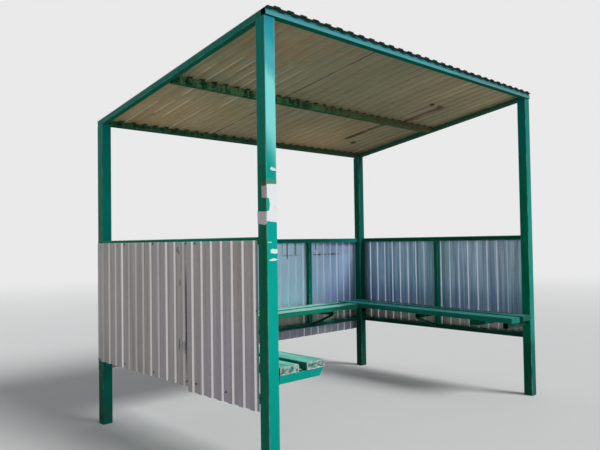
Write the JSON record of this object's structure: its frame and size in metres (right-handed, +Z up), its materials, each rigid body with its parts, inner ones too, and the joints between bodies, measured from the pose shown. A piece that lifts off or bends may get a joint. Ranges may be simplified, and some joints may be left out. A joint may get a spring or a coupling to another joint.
{
  "type": "bus shelter",
  "caption": "Open-fronted bus shelter on square posts, with a sloping profiled-sheet roof, low sheet walls and a plank bench along the walls.",
  "frame": {"origin": "centre of the shelter's bounding box, on the floor that the feet stand on", "axes": "+X from the left wall to the right wall, +Y from the open front to the back wall, +Z up"},
  "size_m": [3.0728, 2.0432, 2.6374],
  "materials": {
    "green_paint": "worn gloss paint",
    "grey_sheet": "dull galvanised sheet",
    "painted_planks": "worn green paint"
  },
  "bodies": {
    "root": {"front_left_post": "green_paint", "front_right_post": "green_paint", "back_left_post": "green_paint", "back_right_post": "green_paint", "roof_front_rail": "green_paint", "roof_back_rail": "green_paint", "roof_left_rail": "green_paint", "roof_right_rail": "green_paint", "roof_purlin": "green_paint", "left_wall_top_rail": "green_paint", "back_wall_top_rail": "green_paint", "right_wall_top_rail": "green_paint", "left_wall_lower_rail": "green_paint", "back_wall_lower_rail": "green_paint", "right_wall_lower_rail": "green_paint", "left_wall_stud": "green_paint", "back_wall_left_stud": "green_paint", "back_wall_right_stud": "green_paint", "right_wall_stud": "green_paint", "left_bench_arms": "green_paint", "back_bench_arms": "green_paint", "right_bench_arms": "green_paint", "bench_braces": "green_paint", "roof_left_sheet": "grey_sheet", "roof_middle_sheet": "grey_sheet", "roof_right_sheet": "grey_sheet", "left_wall_front_sheet": "grey_sheet", "left_wall_back_sheet": "grey_sheet", "back_wall_left_sheet": "grey_sheet", "back_wall_middle_sheet": "grey_sheet", "back_wall_right_sheet": "grey_sheet", "right_wall_front_sheet": "grey_sheet", "right_wall_back_sheet": "grey_sheet", "left_bench_outer_plank": "painted_planks", "left_bench_inner_plank": "painted_planks", "back_bench_outer_plank": "painted_planks", "back_bench_inner_plank": "painted_planks", "right_bench_outer_plank": "painted_planks", "right_bench_inner_plank": "painted_planks", "left_bench_cleat": "painted_planks", "right_bench_cleat": "painted_planks"}
  },
  "joints": []
}
